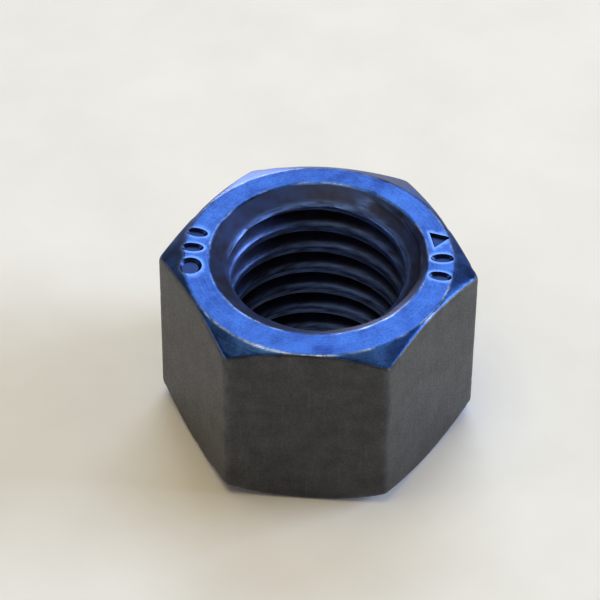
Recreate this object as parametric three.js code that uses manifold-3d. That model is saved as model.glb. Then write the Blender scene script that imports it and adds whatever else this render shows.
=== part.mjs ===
// Hexagon nut, M14 x 2, right-hand thread, 19 mm across flats and 14 mm high.
// One forged and tapped piece of steel, in millimetres. +Z runs along the thread axis, the origin is the
// centre of the lower bearing face, and two corners of the hexagon lie on the X axis.
import * as THREE from "three";
import { mergeVertices, toCreasedNormals } from "three/addons/utils/BufferGeometryUtils.js";
import Module from "manifold-3d";

// Driving dimensions.
const ACROSS_FLATS = 19;
const HEIGHT = 14;
const CORNER_RADIUS = 0.6; // rounding of the six upright edges
const BEARING_DIAMETER = 18.3; // flat ring left by the chamfer on both ends
const CHAMFER_ANGLE = THREE.MathUtils.degToRad(30); // slope of the end chamfers, from the face
const THREAD_DIAMETER = 14;
const PITCH = 2;
const THREAD_PHASE = THREE.MathUtils.degToRad(-45); // turns the whole thread about the axis
const COUNTERSINK_DIAMETER = 14.9; // at both faces
const COUNTERSINK_SLOPE = THREE.MathUtils.degToRad(30); // of its cone, from the face

// Stamped marks in the upper face. A place is a distance from the axis, then degrees round it from +X.
const MARK_DEPTH = 0.25;
const DOT_RADIUS = 0.8;
const DOT_PLACE = [8.7, 191];
const TRIANGLE_RADIUS = 0.9; // from the centre of the stamped triangle to its points
const TRIANGLE_PLACE = [8.35, 17];
const BAR_LENGTH = 1.6; // of the stamped ovals, which point at the axis
const BAR_WIDTH = 0.85;
const BAR_PLACES = [[8.6, 169], [8.6, 179], [8.4, 4], [8.4, -8]];

// Facets and shading.
const STEPS_PER_TURN = 48; // facets of one turn of thread
const STEPS_ROUND = 96; // facets of the chamfers and countersinks
const CREASE_ANGLE = THREE.MathUtils.degToRad(25); // edges sharper than this are shaded as edges

// ISO metric profile, worked out from the pitch.
const SHARP_HEIGHT = PITCH * Math.sin(Math.PI / 3); // of the 60 degree triangle before its tips are cut
const MAJOR_RADIUS = THREAD_DIAMETER / 2;
const MINOR_RADIUS = MAJOR_RADIUS - (5 / 8) * SHARP_HEIGHT;
const ROOT_FLAT = PITCH / 8; // groove floor, at the major diameter
const CREST_FLAT = PITCH / 4; // ridge top, at the minor diameter
const CLEARANCE = 1; // how far each cutting tool runs past the faces that it cuts

const wasm = await Module();
wasm.setup();

// A three.js geometry as a manifold-3d solid.
function solidOf(geometry) {
  const bare = geometry.index ? geometry.toNonIndexed() : geometry.clone();
  bare.deleteAttribute("normal");
  bare.deleteAttribute("uv");
  const merged = mergeVertices(bare, 1e-4);
  return new wasm.Manifold(
    new wasm.Mesh({
      numProp: 3,
      vertProperties: merged.attributes.position.array,
      triVerts: new Uint32Array(merged.index.array),
    }),
  );
}

// A manifold-3d solid as a three.js geometry.
function geometryOf(solid) {
  const mesh = solid.getMesh();
  const geometry = new THREE.BufferGeometry();
  geometry.setAttribute("position", new THREE.BufferAttribute(mesh.vertProperties, 3));
  geometry.setIndex(new THREE.BufferAttribute(mesh.triVerts, 1));
  return toCreasedNormals(geometry, CREASE_ANGLE);
}

// A body of revolution about Z from [radius, height] pairs that run upwards from axis to axis.
function revolved(profile) {
  const points = profile.map(([radius, z]) => new THREE.Vector2(radius, z));
  return new THREE.LatheGeometry(points, STEPS_ROUND).rotateX(Math.PI / 2);
}

// Upright hexagonal bar with rounded corners, the first of them on +X.
function hexagonBar() {
  const outline = new THREE.Shape();
  const toArcCentre = (ACROSS_FLATS / 2 - CORNER_RADIUS) / Math.cos(Math.PI / 6);
  for (let corner = 0; corner < 6; corner++) {
    const angle = (corner * Math.PI) / 3;
    outline.absarc(
      toArcCentre * Math.cos(angle),
      toArcCentre * Math.sin(angle),
      CORNER_RADIUS,
      angle - Math.PI / 6,
      angle + Math.PI / 6,
    );
  }
  outline.closePath();
  return new THREE.ExtrudeGeometry(outline, { depth: HEIGHT, bevelEnabled: false, curveSegments: 6 });
}

// The turned envelope: flat rings on both ends, with a chamfer cone falling away outside each.
function chamferEnvelope() {
  const ring = BEARING_DIAMETER / 2;
  const outer = ACROSS_FLATS; // well outside the corners
  const drop = (outer - ring) * Math.tan(CHAMFER_ANGLE);
  return revolved([[0, 0], [ring, 0], [outer, drop], [outer, HEIGHT - drop], [ring, HEIGHT], [0, HEIGHT]]);
}

// The tap: a solid screw that fills the threaded hole. Rows of profile points follow the helix, and the
// last point of each row is the first point of the row one turn later.
function tap() {
  const flank = (PITCH - ROOT_FLAT - CREST_FLAT) / 2;
  const profile = [
    [MINOR_RADIUS, 0],
    [MINOR_RADIUS, CREST_FLAT],
    [MAJOR_RADIUS, CREST_FLAT + flank],
    [MAJOR_RADIUS, CREST_FLAT + flank + ROOT_FLAT],
  ];
  const start = -2 * PITCH;
  const rows = STEPS_PER_TURN * (HEIGHT / PITCH + 3);
  const positions = [];
  const faces = [];
  for (let row = 0; row <= rows + STEPS_PER_TURN; row++) {
    const angle = (row / STEPS_PER_TURN) * 2 * Math.PI;
    for (const [radius, z] of profile) {
      const x = radius * Math.cos(angle + THREAD_PHASE);
      const y = radius * Math.sin(angle + THREAD_PHASE);
      positions.push(x, y, start + z + (row / STEPS_PER_TURN) * PITCH);
    }
  }
  // Vertex number of a profile point, counting past the end of a row into the next turn.
  const at = (row, point) =>
    point < profile.length ? row * profile.length + point : (row + STEPS_PER_TURN) * profile.length;
  for (let row = 0; row < rows; row++)
    for (let point = 0; point < profile.length; point++) {
      faces.push(at(row, point), at(row + 1, point), at(row + 1, point + 1));
      faces.push(at(row, point), at(row + 1, point + 1), at(row, point + 1));
    }
  const low = positions.length / 3;
  positions.push(0, 0, start - PITCH);
  const high = positions.length / 3;
  positions.push(0, 0, start + HEIGHT + 6 * PITCH);
  for (let step = 0; step < STEPS_PER_TURN; step++) {
    faces.push(low, at(step + 1, 0), at(step, 0));
    faces.push(high, at(rows + step, 0), at(rows + step + 1, 0));
  }
  for (let point = 0; point < profile.length; point++) {
    faces.push(low, at(0, point), at(0, point + 1));
    faces.push(high, at(rows, point + 1), at(rows, point));
  }
  const geometry = new THREE.BufferGeometry();
  geometry.setAttribute("position", new THREE.Float32BufferAttribute(positions, 3));
  geometry.setIndex(faces);
  return geometry;
}

// Cone that opens the mouth of the hole at the upper face.
function countersink() {
  const rim = COUNTERSINK_DIAMETER / 2;
  const depth = rim * Math.tan(COUNTERSINK_SLOPE);
  const wide = rim + CLEARANCE / Math.tan(COUNTERSINK_SLOPE);
  return revolved([[0, HEIGHT - depth], [wide, HEIGHT + CLEARANCE], [0, HEIGHT + CLEARANCE]]);
}

// One upright stamping punch of a given outline, set at a radius and an angle on the upper face.
function punch(outline, [radius, angle]) {
  const tool = new THREE.ExtrudeGeometry(outline, {
    depth: MARK_DEPTH + CLEARANCE,
    bevelEnabled: false,
    curveSegments: 12,
  });
  return tool.translate(radius, 0, HEIGHT - MARK_DEPTH).rotateZ(THREE.MathUtils.degToRad(angle));
}

// Plain stamped marks: two bars and a dot at the corner on -X, two bars and a triangle at the one on +X.
function punches() {
  const dot = new THREE.Shape().absarc(0, 0, DOT_RADIUS, 0, 2 * Math.PI);
  const bar = new THREE.Shape().absellipse(0, 0, BAR_LENGTH / 2, BAR_WIDTH / 2, 0, 2 * Math.PI);
  const triangle = new THREE.Shape(
    [0, 1, 2].map((corner) => {
      const angle = (corner * 2 * Math.PI) / 3;
      return new THREE.Vector2(TRIANGLE_RADIUS * Math.cos(angle), TRIANGLE_RADIUS * Math.sin(angle));
    }),
  );
  const bars = BAR_PLACES.map((place) => punch(bar, place));
  return [punch(dot, DOT_PLACE), punch(triangle, TRIANGLE_PLACE), ...bars];
}

function nutSolid() {
  let nut = solidOf(hexagonBar()).intersect(solidOf(chamferEnvelope()));
  nut = nut.subtract(solidOf(tap()));
  const mouth = solidOf(countersink());
  nut = nut.subtract(mouth);
  nut = nut.subtract(mouth.rotate([180, 0, 0]).translate([0, 0, HEIGHT]));
  for (const tool of punches()) nut = nut.subtract(solidOf(tool));
  return nut;
}

const blackOxideSteel = new THREE.MeshStandardMaterial({ color: 0x2b3a63, roughness: 0.45, metalness: 0.9 });
const hexNut = new THREE.Mesh(geometryOf(nutSolid()), blackOxideSteel);
hexNut.name = "hex_nut";

const assembly = new THREE.Group();
assembly.add(hexNut);
export default assembly;
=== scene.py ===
"""A blackened steel hex nut: turned ends, forged flats and a tapped right-hand thread."""

import math

import bpy
from mathutils import Euler, Matrix, Vector


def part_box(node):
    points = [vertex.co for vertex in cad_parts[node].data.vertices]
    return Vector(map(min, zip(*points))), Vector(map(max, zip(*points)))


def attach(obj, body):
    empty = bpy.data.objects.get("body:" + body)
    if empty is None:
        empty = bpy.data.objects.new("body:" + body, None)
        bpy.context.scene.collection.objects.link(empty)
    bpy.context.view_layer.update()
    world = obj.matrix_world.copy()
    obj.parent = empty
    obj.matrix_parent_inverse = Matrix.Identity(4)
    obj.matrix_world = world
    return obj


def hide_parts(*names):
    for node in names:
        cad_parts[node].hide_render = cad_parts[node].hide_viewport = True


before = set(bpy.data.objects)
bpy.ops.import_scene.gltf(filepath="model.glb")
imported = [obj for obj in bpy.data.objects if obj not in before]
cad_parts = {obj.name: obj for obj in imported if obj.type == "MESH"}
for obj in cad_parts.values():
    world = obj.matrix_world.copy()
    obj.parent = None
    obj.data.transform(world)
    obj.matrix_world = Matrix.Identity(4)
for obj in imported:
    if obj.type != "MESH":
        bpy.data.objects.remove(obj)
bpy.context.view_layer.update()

MM = 0.001

# Driving sizes of the nut, in millimetres. The frame gives the width and the height.
low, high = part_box("hex_nut")
ACROSS_FLATS = (high.y - low.y) / MM
HEIGHT = (high.z - low.z) / MM
PITCH = 2.0
THREAD_DIAMETER = 14.0
BEARING_DIAMETER = 18.3
COUNTERSINK_DIAMETER = 14.9
CORNER_RADIUS = 0.6
END_ANGLE = math.radians(30)  # chamfer and countersink both slope this much from the end face
CHAMFER_SHIFT = 0.25  # the turned ends are this far off the centre of the hexagon, towards -Y
LIP_WIDTH = 0.15  # the part of the countersink that belongs to the shell and not to the thread
RIDGE_PHASE = 0.25  # height of the first ridge at angle zero, as a share of the pitch

# How soft the edges are, in millimetres.
FLAT_SOFTNESS = 0.45  # where a flat meets the chamfer
RING_SOFTNESS = 0.24  # where the chamfer leaves the bearing ring
RIM_SOFTNESS = 0.2  # where the countersink leaves it
RIDGE_SOFTNESS = 0.16  # the top of the thread's ridge
GROOVE_SOFTNESS = 0.2  # the floor of its groove
RUNOUT_SOFTNESS = 0.08  # where the thread runs out into the countersink
SHARP_EDGE = math.radians(38)  # an edge that still bends more than this is shaded crisp

# How far wear reaches from an edge, and how deep it goes, in millimetres. The ring, ridge, run-out and
# burr reaches also set where a highlight is painted.
CORNER_WEAR = 0.5
RING_WEAR_AND_HIGHLIGHT = 0.12
RIDGE_WEAR_AND_HIGHLIGHT = 0.5
RUNOUT_WEAR_AND_HIGHLIGHT = 0.07
BURR_WIDTH = 0.22  # round a stamped mark
BURR_CREST = 0.02  # the part of it where the polish and its painted highlight are full
BITE_DEPTH = 0.08
BITES_PER_MM = 1.1
WAVE_DEPTH = 0.04
WAVES_PER_MM = 0.45

# Stamped marks: distance from the axis, angle round the nut, sides of the outline (many for a round one),
# half the length and half the width. Two bars and a dot at one corner, two bars and a triangle opposite.
MARKS = [
    (8.6, 169, 32, 0.8, 0.425),
    (8.6, 179, 32, 0.8, 0.425),
    (8.7, 191, 32, 0.8, 0.8),
    (8.4, -8, 32, 0.8, 0.425),
    (8.4, 4, 32, 0.8, 0.425),
    (8.35, 17, 3, 0.9, 0.9),
]
MARK_DEPTH = 0.25
PUNCH_TAPER = 0.3  # a punch is this share wider or narrower one mark's depth above or below the ring

# How finely the skins are divided.
COLUMNS = 240  # round the nut
CORNER_GATHER = 0.82  # how strongly the columns gather at the corners, from 0 to 1
SHELL_ROWS = 160  # from the lower mouth of the hole, over the outside, to the upper mouth
FLAT_SHARE = 0.25  # of the shell's rows that lie on the flats
ROWS_PER_PITCH = 18
WELD = 0.002  # points of both skins closer than this become one

# The colour sockets of a Mix node, which share their names with its other sockets.
FACTOR, BELOW, ABOVE, MIXED = 0, 6, 7, 2


def add(tree, kind, inputs=(), **settings):
    """Adds a node. inputs is a list in socket order, or a dict by socket name or place in that order.
    Each input is a value, a socket or a node, which stands for its first output."""
    node = tree.nodes.new(kind)
    for name, value in settings.items():
        setattr(node, name, value)
    for key, value in inputs.items() if isinstance(inputs, dict) else enumerate(inputs):
        if isinstance(value, bpy.types.Node):
            value = value.outputs[0]
        if isinstance(value, bpy.types.NodeSocket):
            tree.links.new(value, node.inputs[key])
        else:
            node.inputs[key].default_value = value
    return node


def linear(colour):
    """An sRGB hex colour, such as "#21418d", as linear RGBA."""
    channels = [int(colour[i : i + 2], 16) / 255 for i in (1, 3, 5)]
    return [c / 12.92 if c <= 0.04045 else ((c + 0.055) / 1.055) ** 2.4 for c in channels] + [1.0]


# ---------------------------------------------------------------------------------------------------------
# Shape


def unit_grid(tree, columns, rows):
    """A flat grid and its two running values, each from 0 to 1: across, round the nut, and along."""
    grid = add(
        tree,
        "GeometryNodeMeshGrid",
        {"Size X": 1.0, "Size Y": 1.0, "Vertices X": columns + 1, "Vertices Y": rows + 1},
    )
    spot = add(tree, "ShaderNodeSeparateXYZ", [add(tree, "GeometryNodeInputPosition")])
    across = add(tree, "ShaderNodeMath", [spot.outputs["X"], 0.5])
    along = add(tree, "ShaderNodeMath", [spot.outputs["Y"], 0.5])
    return grid, across, along


def column_angle(tree, across):
    """Angle round the nut for a place across the grid, 0 to 1. Columns gather at the six corners."""
    sector = add(tree, "ShaderNodeMath", [across, 6.0], operation="MULTIPLY")
    turn = add(tree, "ShaderNodeMath", [sector, math.tau], operation="MULTIPLY")
    wave = add(tree, "ShaderNodeMath", [turn], operation="SINE")
    gather = add(tree, "ShaderNodeMath", [wave, CORNER_GATHER / math.tau], operation="MULTIPLY")
    eased = add(tree, "ShaderNodeMath", [sector, gather], operation="SUBTRACT")
    return add(tree, "ShaderNodeMath", [eased, math.pi / 3], operation="MULTIPLY")


def placed(tree, grid, angle, radius, height):
    """The grid's points at these cylindrical coordinates."""
    cosine = add(tree, "ShaderNodeMath", [angle], operation="COSINE")
    sine = add(tree, "ShaderNodeMath", [angle], operation="SINE")
    x = add(tree, "ShaderNodeMath", [radius, cosine], operation="MULTIPLY")
    y = add(tree, "ShaderNodeMath", [radius, sine], operation="MULTIPLY")
    place = add(tree, "ShaderNodeCombineXYZ", [x, y, height])
    return add(tree, "GeometryNodeSetPosition", {"Geometry": grid, "Position": place})


def end_height(tree, size, angle, radius):
    """Height of the turned upper end, and how far a place is outside the bearing ring and inside the rim.
    The chamfer falls away outside the ring and the countersink inside the rim."""
    ring = add(tree, "ShaderNodeMath", [size["Bearing Diameter"], 0.5], operation="MULTIPLY")
    rim = add(tree, "ShaderNodeMath", [size["Countersink Diameter"], 0.5], operation="MULTIPLY")
    sine = add(tree, "ShaderNodeMath", [angle], operation="SINE")
    turned = add(tree, "ShaderNodeMath", [sine, size["Chamfer Shift"], radius], operation="MULTIPLY_ADD")
    beyond_ring = add(tree, "ShaderNodeMath", [turned, ring], operation="SUBTRACT")
    inside = add(tree, "ShaderNodeMath", [rim, radius], operation="SUBTRACT")
    outside = add(tree, "ShaderNodeMath", [beyond_ring, 0.0, RING_SOFTNESS], operation="SMOOTH_MAX")
    within_rim = add(tree, "ShaderNodeMath", [inside, 0.0, RIM_SOFTNESS], operation="SMOOTH_MAX")
    chamfer = add(tree, "ShaderNodeMath", [outside, size["Chamfer Slope"]], operation="MULTIPLY")
    countersink = add(tree, "ShaderNodeMath", [within_rim, size["Countersink Slope"]], operation="MULTIPLY")
    height = add(tree, "ShaderNodeMath", [size["Height"], chamfer], operation="SUBTRACT")
    height = add(tree, "ShaderNodeMath", [height, countersink], operation="SUBTRACT")
    return height, beyond_ring, inside


def shell(tree, size):
    """The outside: flats, chamfers, bearing rings and the lips of both countersinks, as one skin."""
    grid, across, along = unit_grid(tree, COLUMNS, SHELL_ROWS)
    angle = column_angle(tree, across)

    # Distance from the axis to the hexagon, with its corners rounded.
    apothem = add(tree, "ShaderNodeMath", [size["Across Flats"], 0.5], operation="MULTIPLY")
    from_corner = add(tree, "ShaderNodeMath", [angle, math.pi / 6, -math.pi / 6], operation="WRAP")
    reaches = []
    for side in (-1, 1):
        from_flat = add(tree, "ShaderNodeMath", [from_corner, side * math.pi / 6])
        cosine = add(tree, "ShaderNodeMath", [from_flat], operation="COSINE")
        reaches.append(add(tree, "ShaderNodeMath", [apothem, cosine], operation="DIVIDE"))
    rounding = 6 * (1 / math.cos(math.pi / 6) - 1)  # makes the corner as deep as an arc of this radius does
    softness = add(tree, "ShaderNodeMath", [size["Corner Radius"], rounding], operation="MULTIPLY")
    reach = add(tree, "ShaderNodeMath", [*reaches, softness], operation="SMOOTH_MIN")

    # A walk over the upper half: negative down the flat, zero at its upper edge, positive in to the hole.
    signed = add(tree, "ShaderNodeMath", [along, 2.0, -1.0], operation="MULTIPLY_ADD")
    half = add(tree, "ShaderNodeMath", [signed], operation="ABSOLUTE")
    middle = add(tree, "ShaderNodeMath", [size["Height"], 0.5], operation="MULTIPLY")
    crease, _, _ = end_height(tree, size, angle, reach)
    rise = add(tree, "ShaderNodeMath", [crease, middle], operation="SUBTRACT")
    run = add(tree, "ShaderNodeMath", [reach, size["Lip Radius"]], operation="SUBTRACT")
    back = add(tree, "ShaderNodeMapRange", {"Value": half, "From Min": FLAT_SHARE, "From Max": 0.0})
    back = add(tree, "ShaderNodeMath", [back, 2.0], operation="POWER")
    down = add(tree, "ShaderNodeMath", [back, rise], operation="MULTIPLY")
    ahead = add(tree, "ShaderNodeMapRange", {"Value": half, "From Min": FLAT_SHARE})
    ahead = add(tree, "ShaderNodeMath", [ahead, 1.2], operation="POWER")
    inward = add(tree, "ShaderNodeMath", [ahead, run], operation="MULTIPLY")
    walk = add(tree, "ShaderNodeMath", [inward, down], operation="SUBTRACT")
    walk_back = add(tree, "ShaderNodeMath", [walk, -1.0], operation="MULTIPLY")
    inward = add(tree, "ShaderNodeMath", [walk, 0.0, size["Flat Softness"]], operation="SMOOTH_MAX")
    down = add(tree, "ShaderNodeMath", [walk_back, 0.0, size["Flat Softness"]], operation="SMOOTH_MAX")
    radius = add(tree, "ShaderNodeMath", [reach, inward], operation="SUBTRACT")
    end, beyond_ring, inside = end_height(tree, size, angle, radius)
    upper = add(tree, "ShaderNodeMath", [end, down], operation="SUBTRACT")

    # The lower half mirrors it.
    above = add(tree, "ShaderNodeMath", [upper, middle], operation="SUBTRACT")
    side = add(tree, "ShaderNodeMath", [signed], operation="SIGN")
    height = add(tree, "ShaderNodeMath", [above, side, middle], operation="MULTIPLY_ADD")

    # Wear follows the edges: the flats' curved ends and upright corners, and both edges of the ring, whose
    # mask also places a painted highlight.
    edge = add(tree, "ShaderNodeMath", [walk], operation="ABSOLUTE")
    corner = add(tree, "ShaderNodeMath", [from_corner], operation="ABSOLUTE")
    corner = add(tree, "ShaderNodeMath", [corner, reach], operation="MULTIPLY")
    inland = add(tree, "ShaderNodeMath", [walk, 0.0], operation="MAXIMUM")
    corner = add(tree, "ShaderNodeMath", [corner, inland])
    arris = add(tree, "ShaderNodeMath", [edge, corner], operation="MINIMUM")
    beyond_ring = add(tree, "ShaderNodeMath", [beyond_ring], operation="ABSOLUTE")
    inside = add(tree, "ShaderNodeMath", [inside], operation="ABSOLUTE")
    ring = add(tree, "ShaderNodeMath", [beyond_ring, inside], operation="MINIMUM")
    for name, distance, width in (("arris_wear", arris, CORNER_WEAR), ("ring_wear_and_highlight", ring, RING_WEAR_AND_HIGHLIGHT)):
        wear = add(
            tree,
            "ShaderNodeMapRange",
            {"Value": distance, "From Min": width, "From Max": 0.0},
            interpolation_type="SMOOTHSTEP",
        )
        grid = add(
            tree,
            "GeometryNodeStoreNamedAttribute",
            {"Geometry": grid, "Name": name, "Value": wear},
            domain="POINT",
            data_type="FLOAT",
        )
    rounded_share = 0.04  # the forged finish runs this far over the soft edge, as a share of the rows
    on_flat = add(tree, "FunctionNodeCompare", [half, FLAT_SHARE + rounded_share], operation="LESS_THAN")
    grid = add(
        tree,
        "GeometryNodeStoreNamedAttribute",
        {"Geometry": grid, "Name": "forged", "Value": on_flat},
        domain="FACE",
        data_type="BOOLEAN",
    )
    return placed(tree, grid, angle, radius, height)


def thread(tree, size):
    """The tapped hole: rows of points follow the helix, cut off at both ends by the countersinks."""
    turns = round(HEIGHT / PITCH) + 1
    grid, across, along = unit_grid(tree, COLUMNS, turns * ROWS_PER_PITCH)
    angle = column_angle(tree, across)
    count = add(tree, "ShaderNodeMath", [along, float(turns), -1.0], operation="MULTIPLY_ADD")
    climbed = add(tree, "ShaderNodeMath", [angle, 1 / math.tau, count], operation="MULTIPLY_ADD")
    height = add(tree, "ShaderNodeMath", [climbed, size["Pitch"]], operation="MULTIPLY")

    # The 60 degree profile, for a pitch of 1. If it were sharp it would be sharp_height tall. An eighth of
    # that is missing at the groove floor and a quarter at the ridge top, which is a quarter wide.
    sharp_height = math.sin(math.pi / 3)
    half_ridge = 1 / 8
    phase = add(tree, "ShaderNodeMath", [count, size["Ridge Phase"]], operation="SUBTRACT")
    phase = add(tree, "ShaderNodeMath", [phase, 0.5, -0.5], operation="WRAP")
    phase = add(tree, "ShaderNodeMath", [phase], operation="ABSOLUTE")
    flank = add(tree, "ShaderNodeMath", [phase, half_ridge], operation="SUBTRACT")
    flank = add(tree, "ShaderNodeMath", [flank, size["Pitch"]], operation="MULTIPLY")
    major = add(tree, "ShaderNodeMath", [size["Thread Diameter"], 0.5], operation="MULTIPLY")
    minor = add(
        tree, "ShaderNodeMath", [size["Pitch"], -5 / 8 * sharp_height, major], operation="MULTIPLY_ADD"
    )
    flank_slope = 1 / math.tan(math.radians(30))
    bare = add(tree, "ShaderNodeMath", [flank, flank_slope, minor], operation="MULTIPLY_ADD")
    bare = add(tree, "ShaderNodeMath", [bare, minor, RIDGE_SOFTNESS], operation="SMOOTH_MAX")
    bare = add(tree, "ShaderNodeMath", [bare, major, GROOVE_SOFTNESS], operation="SMOOTH_MIN")

    # The countersinks open both mouths. The skin stops at their lips, where the shell begins.
    rim = add(tree, "ShaderNodeMath", [size["Countersink Diameter"], 0.5], operation="MULTIPLY")
    lip = add(tree, "ShaderNodeMath", [rim, size["Lip Radius"]], operation="SUBTRACT")
    lip = add(tree, "ShaderNodeMath", [lip, size["Countersink Slope"]], operation="MULTIPLY")
    top = add(tree, "ShaderNodeMath", [size["Height"], lip], operation="SUBTRACT")
    height = add(tree, "ShaderNodeMath", [height, lip], operation="MAXIMUM")
    height = add(tree, "ShaderNodeMath", [height, top], operation="MINIMUM")
    from_top = add(tree, "ShaderNodeMath", [size["Height"], height], operation="SUBTRACT")
    depth = add(tree, "ShaderNodeMath", [from_top, height], operation="MINIMUM")
    spread = add(tree, "ShaderNodeMath", [depth, size["Countersink Slope"]], operation="DIVIDE")
    cone = add(tree, "ShaderNodeMath", [rim, spread], operation="SUBTRACT")
    radius = add(tree, "ShaderNodeMath", [bare, cone, RUNOUT_SOFTNESS], operation="SMOOTH_MAX")

    # The ridge tops are painted paler, and half as much the line where the thread runs out: rubbed by the
    # bolt, and a painted highlight.
    above_ridge = add(tree, "ShaderNodeMath", [radius, minor], operation="SUBTRACT")
    ridge_wear_and_highlight = add(
        tree,
        "ShaderNodeMapRange",
        {"Value": above_ridge, "From Min": RIDGE_WEAR_AND_HIGHLIGHT, "From Max": 0.0},
        interpolation_type="SMOOTHSTEP",
    )
    runout = add(tree, "ShaderNodeMath", [bare, cone], operation="SUBTRACT")
    runout = add(tree, "ShaderNodeMath", [runout], operation="ABSOLUTE")
    runout = add(
        tree,
        "ShaderNodeMapRange",
        {"Value": runout, "From Min": RUNOUT_WEAR_AND_HIGHLIGHT, "From Max": 0.0, "To Max": 0.5},
        interpolation_type="SMOOTHSTEP",
    )
    ridge_wear_and_highlight = add(tree, "ShaderNodeMath", [ridge_wear_and_highlight, runout], operation="MAXIMUM")
    grid = add(
        tree,
        "GeometryNodeStoreNamedAttribute",
        {"Geometry": grid, "Name": "ridge_wear_and_highlight", "Value": ridge_wear_and_highlight},
        domain="POINT",
        data_type="FLOAT",
    )
    grid = add(
        tree,
        "GeometryNodeStoreNamedAttribute",
        {"Geometry": grid, "Name": "tapped", "Value": True},
        domain="FACE",
        data_type="BOOLEAN",
    )
    skin = placed(tree, grid, angle, radius, height)
    return add(tree, "GeometryNodeFlipFaces", {"Mesh": skin})


def punches(tree):
    """The tapered punches that leave the stamped marks in the upper ring."""
    tools = add(tree, "GeometryNodeJoinGeometry")
    for distance, angle, sides, length, width in MARKS:
        tool = add(
            tree,
            "GeometryNodeMeshCone",
            {
                "Vertices": sides,
                "Radius Top": 1 + PUNCH_TAPER,
                "Radius Bottom": 1 - PUNCH_TAPER,
                "Depth": 2 * MARK_DEPTH,
            },
        )
        turn = math.radians(angle)
        place = (distance * math.cos(turn), distance * math.sin(turn), HEIGHT - MARK_DEPTH)
        tool = add(
            tree,
            "GeometryNodeTransform",
            {"Geometry": tool, "Translation": place, "Rotation": (0, 0, turn), "Scale": (length, width, 1.0)},
        )
        tree.links.new(tool.outputs[0], tools.inputs[0])
    return add(
        tree,
        "GeometryNodeStoreNamedAttribute",
        {"Geometry": tools, "Name": "stamped", "Value": True},
        domain="FACE",
        data_type="BOOLEAN",
    )


def handled(tree, body):
    """The body with slightly uneven flats and small bites out of its edges."""
    waves = add(tree, "ShaderNodeTexNoise", {"Scale": WAVES_PER_MM, "Detail": 2.0})
    forged = add(tree, "GeometryNodeInputNamedAttribute", {"Name": "forged"}, data_type="FLOAT")
    waves = add(tree, "ShaderNodeMath", [waves, forged], operation="MULTIPLY")
    waves = add(tree, "ShaderNodeMath", [waves, WAVE_DEPTH], operation="MULTIPLY")
    bites = add(tree, "ShaderNodeTexNoise", {"Scale": BITES_PER_MM, "Detail": 3.0})
    bites = add(tree, "ShaderNodeMapRange", {"Value": bites, "From Min": 0.56, "From Max": 0.8})
    arris = add(tree, "GeometryNodeInputNamedAttribute", {"Name": "arris_wear"}, data_type="FLOAT")
    ring = add(tree, "GeometryNodeInputNamedAttribute", {"Name": "ring_wear_and_highlight"}, data_type="FLOAT")
    wear = add(tree, "ShaderNodeMath", [arris, ring], operation="MAXIMUM")
    bites = add(tree, "ShaderNodeMath", [bites, wear], operation="MULTIPLY")
    bites = add(tree, "ShaderNodeMath", [bites, BITE_DEPTH], operation="MULTIPLY")
    sink = add(tree, "ShaderNodeMath", [bites, waves])
    sink = add(tree, "ShaderNodeMath", [sink, -1.0], operation="MULTIPLY")
    normal = add(tree, "GeometryNodeInputNormal")
    sink = add(tree, "ShaderNodeVectorMath", {0: normal, "Scale": sink}, operation="SCALE")
    return add(tree, "GeometryNodeSetPosition", {"Geometry": body, "Offset": sink})


def stamped(tree, body):
    """The body with the marks punched in, each inside a rim painted paler: polished metal and a painted
    highlight.
    """
    tools = punches(tree)
    body = add(
        tree,
        "GeometryNodeMeshBoolean",
        {"Mesh 1": body, "Mesh 2": tools},
        operation="DIFFERENCE",
        solver="MANIFOLD",
    )
    from_punch = add(tree, "GeometryNodeProximity", [tools]).outputs["Distance"]
    burr_and_highlight = add(
        tree,
        "ShaderNodeMapRange",
        {"Value": from_punch, "From Min": BURR_WIDTH, "From Max": BURR_CREST},
        interpolation_type="SMOOTHSTEP",
    )
    return add(
        tree,
        "GeometryNodeStoreNamedAttribute",
        {"Geometry": body, "Name": "burr_and_highlight", "Value": burr_and_highlight},
        domain="POINT",
        data_type="FLOAT",
    )


def nut_tree(sizes, materials):
    """Geometry nodes that make the whole nut from its sizes in millimetres."""
    tree = bpy.data.node_groups.new("nut_shape", "GeometryNodeTree")
    tree.interface.new_socket("Nut", in_out="OUTPUT", socket_type="NodeSocketGeometry")
    for name in sizes:
        tree.interface.new_socket(name, in_out="INPUT", socket_type="NodeSocketFloat")
    size = add(tree, "NodeGroupInput").outputs
    skins = add(tree, "GeometryNodeJoinGeometry")
    for skin in (thread(tree, size), shell(tree, size)):
        tree.links.new(skin.outputs[0], skins.inputs[0])
    body = add(tree, "GeometryNodeMergeByDistance", {"Geometry": skins, "Distance": WELD})
    body = stamped(tree, handled(tree, body))

    body = add(tree, "GeometryNodeTransform", {"Geometry": body, "Scale": (MM, MM, MM)})
    body = add(tree, "GeometryNodeSetShadeSmooth", {"Geometry": body})
    bend = add(tree, "GeometryNodeInputMeshEdgeAngle")
    sharp = add(tree, "FunctionNodeCompare", [bend, SHARP_EDGE], operation="GREATER_THAN")
    body = add(
        tree,
        "GeometryNodeSetShadeSmooth",
        {"Geometry": body, "Selection": sharp, "Shade Smooth": False},
        domain="EDGE",
    )
    body = add(tree, "GeometryNodeRealizeInstances", {"Geometry": body})
    body = add(tree, "GeometryNodeSetMaterial", {"Geometry": body, "Material": materials["turned"]})
    for name in ("forged", "tapped"):
        zone = add(tree, "GeometryNodeInputNamedAttribute", {"Name": name}, data_type="BOOLEAN")
        body = add(
            tree,
            "GeometryNodeSetMaterial",
            {"Geometry": body, "Selection": zone, "Material": materials[name]},
        )
    add(tree, "NodeGroupOutput", {"Nut": body})
    return tree


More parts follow.
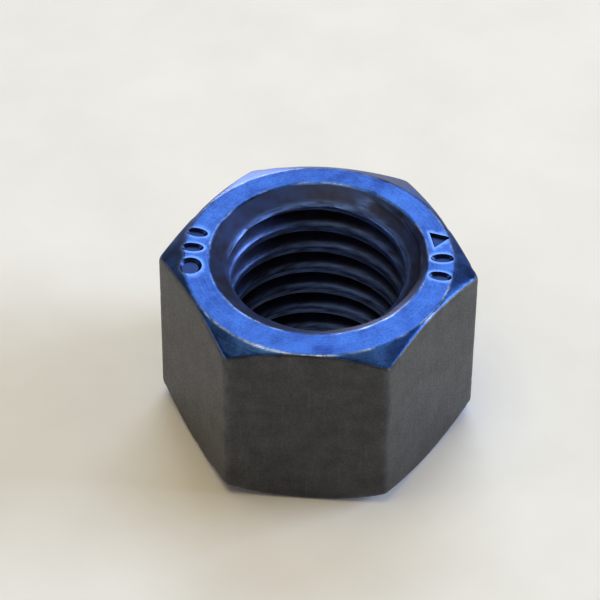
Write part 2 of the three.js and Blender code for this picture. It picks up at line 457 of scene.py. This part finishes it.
def made_by_nodes(name, tree, values):
    """A plain mesh object made by a tree of geometry nodes, its inputs set by their identifiers."""
    carrier = bpy.data.objects.new(name + "_carrier", bpy.data.meshes.new(name + "_carrier"))
    bpy.context.scene.collection.objects.link(carrier)
    modifier = carrier.modifiers.new("shape", "NODES")
    modifier.node_group = tree
    for item in tree.interface.items_tree:
        if item.item_type == "SOCKET" and item.in_out == "INPUT":
            modifier[item.identifier] = values[item.name]
    evaluated = carrier.evaluated_get(bpy.context.evaluated_depsgraph_get())
    mesh = bpy.data.meshes.new_from_object(evaluated)
    mesh.name = name
    bpy.data.objects.remove(carrier)
    piece = bpy.data.objects.new(name, mesh)
    bpy.context.scene.collection.objects.link(piece)
    return piece


# ---------------------------------------------------------------------------------------------------------
# Materials. Every pattern is laid out in the Object coordinates of the piece, at a size in millimetres.


def new_material(name):
    """An empty node material and its Object coordinates."""
    material = bpy.data.materials.new(name)
    material.use_nodes = True
    tree = material.node_tree
    tree.nodes.clear()
    place = add(tree, "ShaderNodeTexCoord").outputs["Object"]
    return material, tree, place


def turned_black_oxide():
    """Turned steel under a blue-black oxide film: fine concentric tool rings, cloudy deep blue, and paler
    metal along the edges of the ring, partly where the film has worn off and partly a painted highlight. The
    tool rings are about twice as coarse as a finishing cut leaves them, so that they show."""
    cloud_size = 1.9 * MM
    cloud_seed = 1.3
    grain_size = 0.18 * MM
    ring_spacing = 0.22 * MM
    ring_wobble = 0.15 * MM
    run_length = 2.6 * MM
    nick_size = 0.3 * MM
    highlit_and_handled_side = (0.25, -1.0, 0.0)  # the ring's edges are knocked, and painted brightest as a highlight, most on this side

    material, tree, place = new_material("turned_black_oxide_steel")
    flat = add(tree, "ShaderNodeVectorMath", [place, (1, 1, 0)], operation="MULTIPLY")
    radius = add(tree, "ShaderNodeVectorMath", [flat], operation="LENGTH").outputs["Value"]
    clouds = add(
        tree,
        "ShaderNodeTexNoise",
        {"Vector": place, "W": cloud_seed, "Scale": 1 / cloud_size, "Detail": 6.0, "Roughness": 0.62},
        noise_dimensions="4D",
    )
    grain = add(tree, "ShaderNodeTexNoise", {"Vector": place, "Scale": 1 / grain_size, "Detail": 3.0})
    wobble = add(tree, "ShaderNodeMath", [clouds, ring_wobble, radius], operation="MULTIPLY_ADD")
    rings = add(
        tree,
        "ShaderNodeTexNoise",
        {"W": wobble, "Scale": 1 / ring_spacing, "Detail": 2.0},
        noise_dimensions="1D",
    )

    # Along stretches of the ring's edges, in fine nicks, most on the handled side, the colour is painted
    # paler: bare metal where the film is gone, and a painted highlight.
    runs = add(tree, "ShaderNodeTexNoise", {"Vector": place, "Scale": 1 / run_length, "Detail": 2.0})
    runs = add(tree, "ShaderNodeMapRange", {"Value": runs, "From Min": 0.44, "From Max": 0.56})
    nicks_and_glints = add(tree, "ShaderNodeTexNoise", {"Vector": place, "Scale": 1 / nick_size, "Detail": 3.0})
    nicks_and_glints = add(
        tree, "ShaderNodeMapRange", {"Value": nicks_and_glints, "From Min": 0.35, "From Max": 0.6, "To Min": 0.25}
    )
    knocked_and_highlit = add(tree, "ShaderNodeVectorMath", [place, highlit_and_handled_side], operation="DOT_PRODUCT")
    knocked_and_highlit = add(
        tree,
        "ShaderNodeMapRange",
        {"Value": knocked_and_highlit.outputs["Value"], "From Min": 2 * MM, "From Max": 8 * MM, "To Min": 0.4},
    )
    # Paler ring edges: part worn film, part painted highlight.
    worn_and_highlight = add(tree, "ShaderNodeMath", [runs, nicks_and_glints], operation="MULTIPLY")
    worn_and_highlight = add(tree, "ShaderNodeMath", [worn_and_highlight, knocked_and_highlit], operation="MULTIPLY")
    ring_wear_and_highlight = add(tree, "ShaderNodeAttribute", attribute_name="ring_wear_and_highlight").outputs["Fac"]
    worn_and_highlight = add(tree, "ShaderNodeMath", [ring_wear_and_highlight, worn_and_highlight], operation="MULTIPLY")

    # From the film up: tool rings, dark speckle, polished rims with a painted highlight, the marks' floors
    # painted dark as shade, bare worn edges with a painted highlight.
    ringed = add(
        tree, "ShaderNodeMapRange", {"Value": rings, "From Min": 0.45, "From Max": 0.75, "To Max": 0.1}
    )
    speckle = add(
        tree, "ShaderNodeMapRange", {"Value": grain, "From Min": 0.5, "From Max": 0.75, "To Max": 0.5}
    )
    # Round each mark the film is painted paler: polished burr and a painted highlight.
    burr_and_highlight = add(tree, "ShaderNodeAttribute", attribute_name="burr_and_highlight").outputs["Fac"]
    burr_and_highlight = add(tree, "ShaderNodeMapRange", {"Value": burr_and_highlight, "To Max": 0.55})
    # The marks' floors are painted dark: painted shade in the recesses.
    mark_shade = add(tree, "ShaderNodeAttribute", attribute_name="stamped").outputs["Fac"]
    mark_shade = add(tree, "ShaderNodeMapRange", {"Value": mark_shade, "To Max": 0.93})
    cloudy = add(tree, "ShaderNodeMapRange", {"Value": clouds, "From Min": 0.34, "From Max": 0.7})
    colour = linear("#16306c")
    for amount, layer in (
        (cloudy, "#3e6aba"),
        (ringed, "#5f86cc"),
        (speckle, "#16264f"),
        (burr_and_highlight, "#7fa6f5"),
        (mark_shade, "#12204a"),
        (worn_and_highlight, "#b9caf0"),
    ):
        mixed = {FACTOR: amount, BELOW: colour, ABOVE: linear(layer)}
        colour = add(tree, "ShaderNodeMix", mixed, data_type="RGBA").outputs[MIXED]

    roughness = add(
        tree,
        "ShaderNodeMapRange",
        {"Value": clouds, "From Min": 0.3, "From Max": 0.7, "To Min": 0.3, "To Max": 0.46},
    )
    relief = add(tree, "ShaderNodeMath", [rings, grain])
    bump = add(tree, "ShaderNodeBump", {"Strength": 0.55, "Distance": 0.012 * MM, "Height": relief})
    shader = add(
        tree,
        "ShaderNodeBsdfPrincipled",
        {
            "Base Color": colour,
            "Metallic": 1.0,
            "Roughness": roughness,
            "Normal": bump,
            "Coat Weight": 0.08,
            "Coat Roughness": 0.2,
        },
    )
    add(tree, "ShaderNodeOutputMaterial", {"Surface": shader})
    return material


def forged_black_oxide():
    """Forged steel under a dull black oxide film: warm dark grey, gritty and mottled, with faint upright
    drag marks from the die and lighter corners where handling has rubbed it. The grit is about twice as
    coarse as real scale, so that it shows."""
    drag_width = 0.35 * MM
    grit_size = 0.14 * MM
    mottle_size = 1.6 * MM

    material, tree, place = new_material("forged_black_oxide_steel")
    drawn = add(tree, "ShaderNodeMapping", {"Vector": place, "Scale": (1.0, 1.0, 0.12)})
    drag = add(tree, "ShaderNodeTexNoise", {"Vector": drawn, "Scale": 1 / drag_width, "Detail": 4.0})
    grit = add(tree, "ShaderNodeTexNoise", {"Vector": place, "Scale": 1 / grit_size, "Detail": 3.0})
    mottle = add(tree, "ShaderNodeTexNoise", {"Vector": place, "Scale": 1 / mottle_size, "Detail": 5.0})

    mottled = add(tree, "ShaderNodeMapRange", {"Value": mottle, "From Min": 0.35, "From Max": 0.65})
    gritty = add(
        tree, "ShaderNodeMapRange", {"Value": grit, "From Min": 0.35, "From Max": 0.75, "To Max": 0.5}
    )
    dragged = add(
        tree, "ShaderNodeMapRange", {"Value": drag, "From Min": 0.58, "From Max": 0.8, "To Max": 0.25}
    )
    arris = add(tree, "ShaderNodeAttribute", attribute_name="arris_wear").outputs["Fac"]
    rubbed = add(tree, "ShaderNodeMath", [arris, mottled], operation="MULTIPLY")
    rubbed = add(tree, "ShaderNodeMapRange", {"Value": rubbed, "To Max": 0.1})
    colour = linear("#3f4044")
    for amount, layer in (
        (mottled, "#4d4e51"),
        (gritty, "#27282e"),
        (dragged, "#6b6967"),
        (rubbed, "#8d8e96"),
    ):
        mixed = {FACTOR: amount, BELOW: colour, ABOVE: linear(layer)}
        colour = add(tree, "ShaderNodeMix", mixed, data_type="RGBA").outputs[MIXED]

    roughness = add(
        tree,
        "ShaderNodeMapRange",
        {"Value": grit, "From Min": 0.3, "From Max": 0.7, "To Min": 0.38, "To Max": 0.52},
    )
    relief = add(tree, "ShaderNodeMath", [drag, grit])
    bump = add(tree, "ShaderNodeBump", {"Strength": 0.6, "Distance": 0.02 * MM, "Height": relief})
    shader = add(
        tree,
        "ShaderNodeBsdfPrincipled",
        {"Base Color": colour, "Metallic": 0.75, "Roughness": roughness, "Normal": bump},
    )
    add(tree, "ShaderNodeOutputMaterial", {"Surface": shader})
    return material


def tapped_black_oxide():
    """Tapped steel under an oily black oxide film: near black, with the ridge tops painted blue-grey, partly
    where the bolt has rubbed them and partly as a painted highlight, and fine torn lines along the helix."""
    cloud_size = 1.4 * MM
    tear_width = 0.12 * MM

    material, tree, place = new_material("tapped_black_oxide_steel")
    clouds = add(tree, "ShaderNodeTexNoise", {"Vector": place, "Scale": 1 / cloud_size, "Detail": 4.0})
    level = add(tree, "ShaderNodeMapping", {"Vector": place, "Scale": (0.1, 0.1, 1.0)})
    torn = add(tree, "ShaderNodeTexNoise", {"Vector": level, "Scale": 1 / tear_width, "Detail": 3.0})
    cloudy = add(tree, "ShaderNodeMapRange", {"Value": clouds, "From Min": 0.35, "From Max": 0.65})
    # The ridge tops are painted blue-grey: rubbed metal and a painted highlight.
    ridge_wear_and_highlight = add(tree, "ShaderNodeAttribute", attribute_name="ridge_wear_and_highlight").outputs["Fac"]
    rubbed = add(tree, "ShaderNodeMapRange", {"Value": torn, "From Min": 0.3, "From Max": 0.6})
    rubbed = add(tree, "ShaderNodeMath", [rubbed, ridge_wear_and_highlight], operation="MULTIPLY")
    colour = linear("#262a3e")
    for amount, layer in ((cloudy, "#2e3d6c"), (rubbed, "#5a7ac4")):
        mixed = {FACTOR: amount, BELOW: colour, ABOVE: linear(layer)}
        colour = add(tree, "ShaderNodeMix", mixed, data_type="RGBA").outputs[MIXED]

    bump = add(tree, "ShaderNodeBump", {"Strength": 0.5, "Distance": 0.015 * MM, "Height": torn})
    shader = add(
        tree,
        "ShaderNodeBsdfPrincipled",
        {"Base Color": colour, "Metallic": 0.8, "Roughness": 0.47, "Normal": bump},
    )
    add(tree, "ShaderNodeOutputMaterial", {"Surface": shader})
    return material


def white_paper():
    """Matt white paper: faintly cloudy from its pulp, with short fibres that catch a little light. The
    fibres are drawn several times thicker than real ones, so that they show."""
    pulp_size = 9 * MM
    fibre_size = 0.25 * MM

    material, tree, place = new_material("white_paper")
    pulp = add(tree, "ShaderNodeTexNoise", {"Vector": place, "Scale": 1 / pulp_size, "Detail": 4.0})
    fibre = add(tree, "ShaderNodeTexNoise", {"Vector": place, "Scale": 1 / fibre_size, "Detail": 3.0})
    cloudy = add(tree, "ShaderNodeMapRange", {"Value": pulp, "From Min": 0.3, "From Max": 0.7})
    mixed = {FACTOR: cloudy, BELOW: linear("#efedea"), ABOVE: linear("#f6f5f3")}
    colour = add(tree, "ShaderNodeMix", mixed, data_type="RGBA").outputs[MIXED]
    bump = add(tree, "ShaderNodeBump", {"Strength": 0.3, "Distance": 0.01 * MM, "Height": fibre})
    shader = add(
        tree, "ShaderNodeBsdfPrincipled", {"Base Color": colour, "Roughness": 0.8, "Normal": bump}
    )
    add(tree, "ShaderNodeOutputMaterial", {"Surface": shader})
    return material


# ---------------------------------------------------------------------------------------------------------
# The nut

SIZES = {
    "Across Flats": ACROSS_FLATS,
    "Height": HEIGHT,
    "Corner Radius": CORNER_RADIUS,
    "Bearing Diameter": BEARING_DIAMETER,
    "Chamfer Slope": math.tan(END_ANGLE),
    "Chamfer Shift": CHAMFER_SHIFT,
    "Flat Softness": FLAT_SOFTNESS,
    "Countersink Diameter": COUNTERSINK_DIAMETER,
    "Countersink Slope": math.tan(END_ANGLE),
    "Lip Radius": COUNTERSINK_DIAMETER / 2 - LIP_WIDTH,
    "Thread Diameter": THREAD_DIAMETER,
    "Pitch": PITCH,
    "Ridge Phase": RIDGE_PHASE,
}
finishes = {"turned": turned_black_oxide(), "forged": forged_black_oxide(), "tapped": tapped_black_oxide()}
nut = made_by_nodes("nut_body", nut_tree(SIZES, finishes), SIZES)
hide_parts("hex_nut")
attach(nut, "root")

# ---------------------------------------------------------------------------------------------------------
# Floor, lights and camera, in metres

FLOOR_REACH = 2.0
floor_mesh = bpy.data.meshes.new("floor")
corners = [(x * FLOOR_REACH, y * FLOOR_REACH, 0) for x, y in ((-1, -1), (1, -1), (1, 1), (-1, 1))]
floor_mesh.from_pydata(corners, [], [(0, 1, 2, 3)])
floor_mesh.materials.append(white_paper())
floor = bpy.data.objects.new("floor", floor_mesh)
bpy.context.scene.collection.objects.link(floor)

world = bpy.data.worlds.new("studio")
world.use_nodes = True
background = world.node_tree.nodes["Background"]
background.inputs["Color"].default_value = linear("#ffddb0")
background.inputs["Strength"].default_value = 0.175
bpy.context.scene.world = world

# Square lamps that face the nut: name, direction from the nut, width, power in watts and colour. A cool
# window behind it, with its glow low over the paper, is balanced by a warm ceiling and two pale walls.
LAMP_DISTANCE = 0.8
LAMPS = [
    ("window", (0.05, 1.0, 1.0), 0.5, 2.75, "#d5e9ff"),
    ("low_window", (-0.27, 1.0, 0.04), 0.15, 2.0, "#f2f5ff"),
    ("right_fill", (1.0, 0.2, 0.32), 0.4, 7.0, "#dcebff"),
    ("left_fill", (-1.0, -0.3, 0.16), 0.3, 1.3, "#eef2ff"),
    ("ceiling", (-0.14, -0.04, 1.0), 0.5, 2.25, "#fff2ca"),
]
for name, direction, width, power, colour in LAMPS:
    lamp = bpy.data.lights.new(name, "AREA")
    lamp.size = width
    lamp.energy = power
    lamp.color = linear(colour)[:3]
    light = bpy.data.objects.new(name, lamp)
    light.location = Vector(direction).normalized() * LAMP_DISTANCE
    light.rotation_euler = light.location.to_track_quat("Z", "Y").to_euler()
    bpy.context.scene.collection.objects.link(light)
bpy.context.scene.view_settings.view_transform = "Standard"

# The camera looks at the middle of the nut from its orbit, then tips by the offset to frame it.
CAMERA_LENS = 195.1  # millimetres, on a sensor 36 mm wide
CAMERA_ELEVATION = math.radians(45.04)
CAMERA_AZIMUTH = math.radians(3.99)
CAMERA_ROLL = math.radians(0.81)
CAMERA_OFFSET = (math.radians(0.5215), math.radians(0.305), 0)
CAMERA_DISTANCE = 0.2248
camera_data = bpy.data.cameras.new("camera")
camera_data.lens = CAMERA_LENS
camera_data.sensor_width = 36.0
camera = bpy.data.objects.new("camera", camera_data)
aim = Euler((math.pi / 2 - CAMERA_ELEVATION, 0, CAMERA_AZIMUTH)).to_matrix()
location = Vector((0, 0, HEIGHT / 2 * MM)) + aim @ Vector((0, 0, CAMERA_DISTANCE))
turned = aim @ Matrix.Rotation(CAMERA_ROLL, 3, "Z") @ Euler(CAMERA_OFFSET).to_matrix()
camera.matrix_world = Matrix.Translation(location) @ turned.to_4x4()
bpy.context.scene.collection.objects.link(camera)
bpy.context.scene.camera = camera
